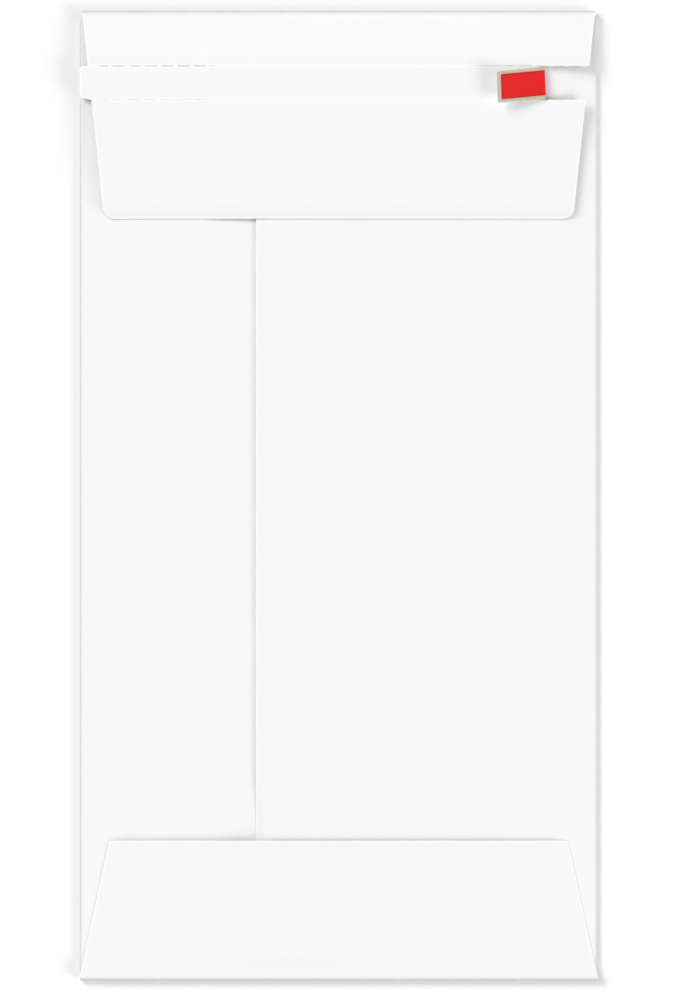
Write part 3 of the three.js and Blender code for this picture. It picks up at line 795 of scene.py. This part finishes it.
def strip_grid(ends, cuts, leans=(0.0, 0.0)):
    """Places on a length of strip between two ends, and their distances to its die-cut edges.

    Rows follow both perforations at fixed distances. Each end is cut or not, and leans or not.
    """
    (start, start_edge), (end, end_edge) = rings(cuts[0]), rings(cuts[1])
    lines = np.concatenate([np.arange(*ends, STRIP_STEP), tie_lines(*ends)])
    lines = between(lines, ends[0] + start[-1] + NEAREST, ends[1] - end[-1] - NEAREST)
    x = np.concatenate([ends[0] + start, lines, ends[1] - end[::-1]])
    edge_x = np.concatenate([start_edge, 0 * lines + FAR, end_edge[::-1]])
    rows = np.linspace(strip_low + STRIP_MARGIN, strip_high - STRIP_MARGIN, STRIP_ROWS)
    y = np.concatenate([strip_low + set_back(x, OPEN_CUT_BELOW) + RINGS[:, None], rows[:, None] + 0 * x,
                        strip_high - set_back(x, OPEN_CUT) - RINGS[::-1, None]])
    edge_y = np.concatenate([RINGS, 0 * rows + FAR, RINGS[::-1]])[:, None]
    return leaned(x, y, ends, leans), y, np.minimum(edge_x, edge_y)


def lay_strip(x, y):
    """The outer and inner faces of the strip where it lies in the flap."""
    return two_faces(x, y, strip_under(x, y), BOARD)


def tape_grid(ends, cuts, leans=(0.0, 0.0)):
    """Places on a length of tear tape between two ends, and their distances to its slit edges."""
    share_x, offset_x, edge_x = spread(*ends, TAPE_STEP, *cuts)
    share_y, offset_y, edge_y = spread(-TAPE_HALF, TAPE_HALF, TAPE_STEP)
    x, y = np.meshgrid(ends[0] + share_x * (ends[1] - ends[0]) + offset_x,
                       strip_mid + TAPE_HALF * (2 * share_y - 1) + offset_y)
    return leaned(x, y, ends, leans), y, np.minimum(edge_x, edge_y[:, None])


def lay_tape(x, y):
    """The tape's two faces under the strip; the outer one, the lower, shows where the strip turns over."""
    return two_faces(x, y, strip_under(x, y) - TAPE_GAP, -TAPE_THICK)


strip_hinges = {j["child"]: j["pos_m"][0] for j in frame["joints"] if j["child"].startswith("strip_run")}
hinge_places = sorted(strip_hinges.values())

tab_x, tab_y, tab_edge = strip_grid((-half_width, hinge_places[0]), (True, False))
beyond = np.clip((-closure_half(strip_low) - tab_x) / (half_width - closure_half(strip_low)), 0, 1)
tab_share = (tab_y - strip_low) / (strip_high - strip_low)
tab_y = tab_y + TAB_SLANT * beyond * (1 - tab_share)
corner = np.clip(TAB_CORNER - np.minimum(tab_y - strip_low - TAB_SLANT, strip_high - tab_y), 0, TAB_CORNER)
tab_x = tab_x + (TAB_CORNER - np.sqrt(TAB_CORNER**2 - corner**2)) * beyond
pull_tab = sheet("pull_tab", *lay_strip(tab_x, tab_y), tab_edge, board, keen=keenness(tab_x, tab_y))
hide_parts("tear_strip_tab")
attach(pull_tab, "closure_flap")
x, y, edge = tape_grid((TAPE_INSET - half_width, hinge_places[0]), (True, False))
tab_tape = sheet("tear_tape_at_tab", *lay_tape(x, y), edge, tape, "tape", SLIT_ROUND)
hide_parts("tear_tape_tab")
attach(tab_tape, "closure_flap")

for number, body in enumerate(sorted(strip_hinges), 1):
    ends = (*hinge_places, tear_x)[number - 1:number + 1]
    leans = (0.0, FOLD_LEAN if ends[1] == tear_x else 0.0)
    x, y, edge = strip_grid(ends, (False, False), leans)
    length = sheet(f"strip_length_{number}", *lay_strip(x, y), edge, board, keen=keenness(x, y))
    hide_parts(f"tear_strip_{number}")
    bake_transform(length)
    x, y, edge = tape_grid(ends, (False, False), leans)
    backing = sheet(f"tear_tape_length_{number}", *lay_tape(x, y), edge, tape, "tape", SLIT_ROUND)
    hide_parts(f"tear_tape_{number}")
    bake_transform(backing)


# The torn end: the strip's right end, pulled out of the flap and folded back on itself, so that its kraft
# inside and the red tape show. The sheet turns over in a tight bend round the crease in its outer face.

FOLD_BACK = math.radians(171)
MEETING = math.radians(77)  # where the bend's two halves meet, each hidden in the other's board once unfolded
STRIP_END_INSET = 1 * MM
BEND_TAKES = 0.4 * MM  # of the strip's length goes into the bend
END_LEAN = math.radians(3.4)
BEND_STEPS = 10
BEND_WIDTH_SHARE = 0.99  # a little narrower than the strip, so that the leaning bend stays inside it unfolded
BEND_THIN = 0.96  # the share of its thickness that the board keeps in the bend

crease = np.array([tear_x, tear_y, tear_z])
axis = np.array([-math.sin(FOLD_LEAN), math.cos(FOLD_LEAN), 0])
end_x = half_width - STRIP_END_INSET - BEND_TAKES


def turned(face, angle):
    """A face turned about the crease, from lying in the slot towards lying on the strip.

    The arm from the crease to each point keeps its part along the axis, and the rest turns by the angle.
    """
    arm = face - crease
    along = (arm @ axis)[..., None] * axis
    return crease + along + (arm - along) * math.cos(angle) + np.cross(arm, axis) * math.sin(angle)


def bend(name, grid, lay, thin, low, high, body, node, *finish):
    """Half of the bend: the sheet's section at the crease, turned through the angles from low to high.

    Its distance to the long edges is the one in the middle of the sheet's length.
    """
    x, y, edge = grid
    outer, inner = lay(x, strip_mid + BEND_WIDTH_SHARE * (y - strip_mid))
    outer = inner + thin * (outer - inner)
    angles = np.linspace(low, high, BEND_STEPS + 1)
    piece = sheet(name, np.stack([turned(outer[:, 0], angle) for angle in angles], axis=1),
                  np.stack([turned(inner[:, 0], angle) for angle in angles], axis=1),
                  edge[:, edge.shape[1] // 2, None] + 0 * angles, *finish)
    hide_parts(node)
    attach(piece, body)


strip_end = strip_grid((tear_x, end_x), (False, True), (FOLD_LEAN, END_LEAN))
tape_end = tape_grid((tear_x, end_x - TAPE_INSET), (False, True), (FOLD_LEAN, END_LEAN))
for name, bend_name, grid, lay, thin, node, finish in (
        ("torn_end_board", "torn_end_bend", strip_end, lay_strip, BEND_THIN, "tear_strip", (board,)),
        ("red_tape_on_torn_end", "torn_end_tape_bend", tape_end, lay_tape, 1.0, "tear_tape",
         (tape, "tape", SLIT_ROUND))):
    x, y, edge = grid
    piece = sheet(name, *(turned(face, FOLD_BACK) for face in lay(x, y)), edge, *finish)
    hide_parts(node + "_end")
    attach(piece, "torn_end")
    bend(bend_name + "_below", grid, lay, thin, 0, MEETING, "strip_run_5", node + "_5", *finish)
    bend(bend_name + "_above", grid, lay, thin, MEETING, FOLD_BACK, "torn_end", node + "_end", *finish)


# The stage: a plain white floor under a soft white sky, with a large soft lamp at the upper left and a weaker
# one at the lower right. Floor and sky look white to the camera, and the floor keeps the mailer's shadow.

SKY = 0.51
# each lamp's share of the light on the table; its height, side from +X towards +Y, and width, in degrees
LAMPS = {"lamp_upper_left": (0.33, 40, 139, 28), "lamp_lower_right": (0.16, 26, -28, 24)}
FLOOR_COLOUR = 0.95
FLOOR_GLOW = 0.07
FLOOR_HALF = 3
FLOOR_DROP = 0.05 * MM  # keeps the floor clear of the address panel's face

floor_mesh = bpy.data.meshes.new("floor")
floor_corners = [(x * FLOOR_HALF, y * FLOOR_HALF, 0) for x, y in ((-1, -1), (1, -1), (1, 1), (-1, 1))]
floor_mesh.from_pydata(floor_corners, [], [(0, 1, 2, 3)])
floor = bpy.data.objects.new("floor", floor_mesh)
floor.location.z = -FLOOR_DROP
bpy.context.scene.collection.objects.link(floor)


def seen_ray(tree):
    """1 for a ray from the camera, or one that a gloss or a clear thing passes on, and else 0."""
    rays = join(tree, "ShaderNodeLightPath")
    gloss = join(tree, "ShaderNodeMath", operation="MAXIMUM",
                 _0=rays.outputs["Is Camera Ray"], _1=rays.outputs["Is Glossy Ray"])
    return join(tree, "ShaderNodeMath", operation="MAXIMUM",
                _0=gloss.outputs[0], _1=rays.outputs["Is Transmission Ray"]).outputs[0]


floor_material = bpy.data.materials.new("floor_white")
floor_material.use_nodes = True
tree = floor_material.node_tree
shader = tree.nodes["Principled BSDF"]
shader.inputs["Base Color"].default_value = (FLOOR_COLOUR, FLOOR_COLOUR, FLOOR_COLOUR, 1)
shader.inputs["Roughness"].default_value = 0.9
shader.inputs["Specular IOR Level"].default_value = 0.0
shader.inputs["Emission Color"].default_value = (1, 1, 1, 1)
tree.links.new(times(tree, seen_ray(tree), FLOOR_GLOW), shader.inputs["Emission Strength"])
floor_mesh.materials.append(floor_material)

world = bpy.data.worlds.new("soft_sky")
bpy.context.scene.world = world
world.use_nodes = True
tree = world.node_tree
sky = tree.nodes["Background"]
sky.inputs["Color"].default_value = (1, 1, 1, 1)
tree.links.new(ramp(tree, seen_ray(tree), SKY, 1.0), sky.inputs["Strength"])

for name, (share, height, side, width) in LAMPS.items():
    lamp_data = bpy.data.lights.new(name, "SUN")
    lamp_data.energy = share * math.pi / math.sin(math.radians(height))
    lamp_data.angle = math.radians(width)
    lamp = bpy.data.objects.new(name, lamp_data)
    lamp.rotation_euler = (math.radians(90 - height), 0, math.radians(side + 90))
    bpy.context.scene.collection.objects.link(lamp)


# The camera looks straight down on the back of the mailer through a long lens, placed for a picture of 680
# by 1000 pixels.

PICTURE_HIGH = 1000
PIXEL = 0.19633 * MM
MIDDLE = (0.27 * MM, -0.83 * MM)
LENS = 1000.0
SENSOR = 36.0
PLANE = 1 * MM  # the height at which a pixel has that size
CLIP = (0.1, 30)

camera_data = bpy.data.cameras.new("camera")
camera_data.lens = LENS
camera_data.sensor_width = SENSOR
camera_data.clip_start, camera_data.clip_end = CLIP
camera = bpy.data.objects.new("camera", camera_data)
camera.location = (*MIDDLE, PLANE + PIXEL * PICTURE_HIGH * LENS / SENSOR)
bpy.context.scene.collection.objects.link(camera)
bpy.context.scene.camera = camera
bpy.context.scene.view_settings.view_transform = "Standard"
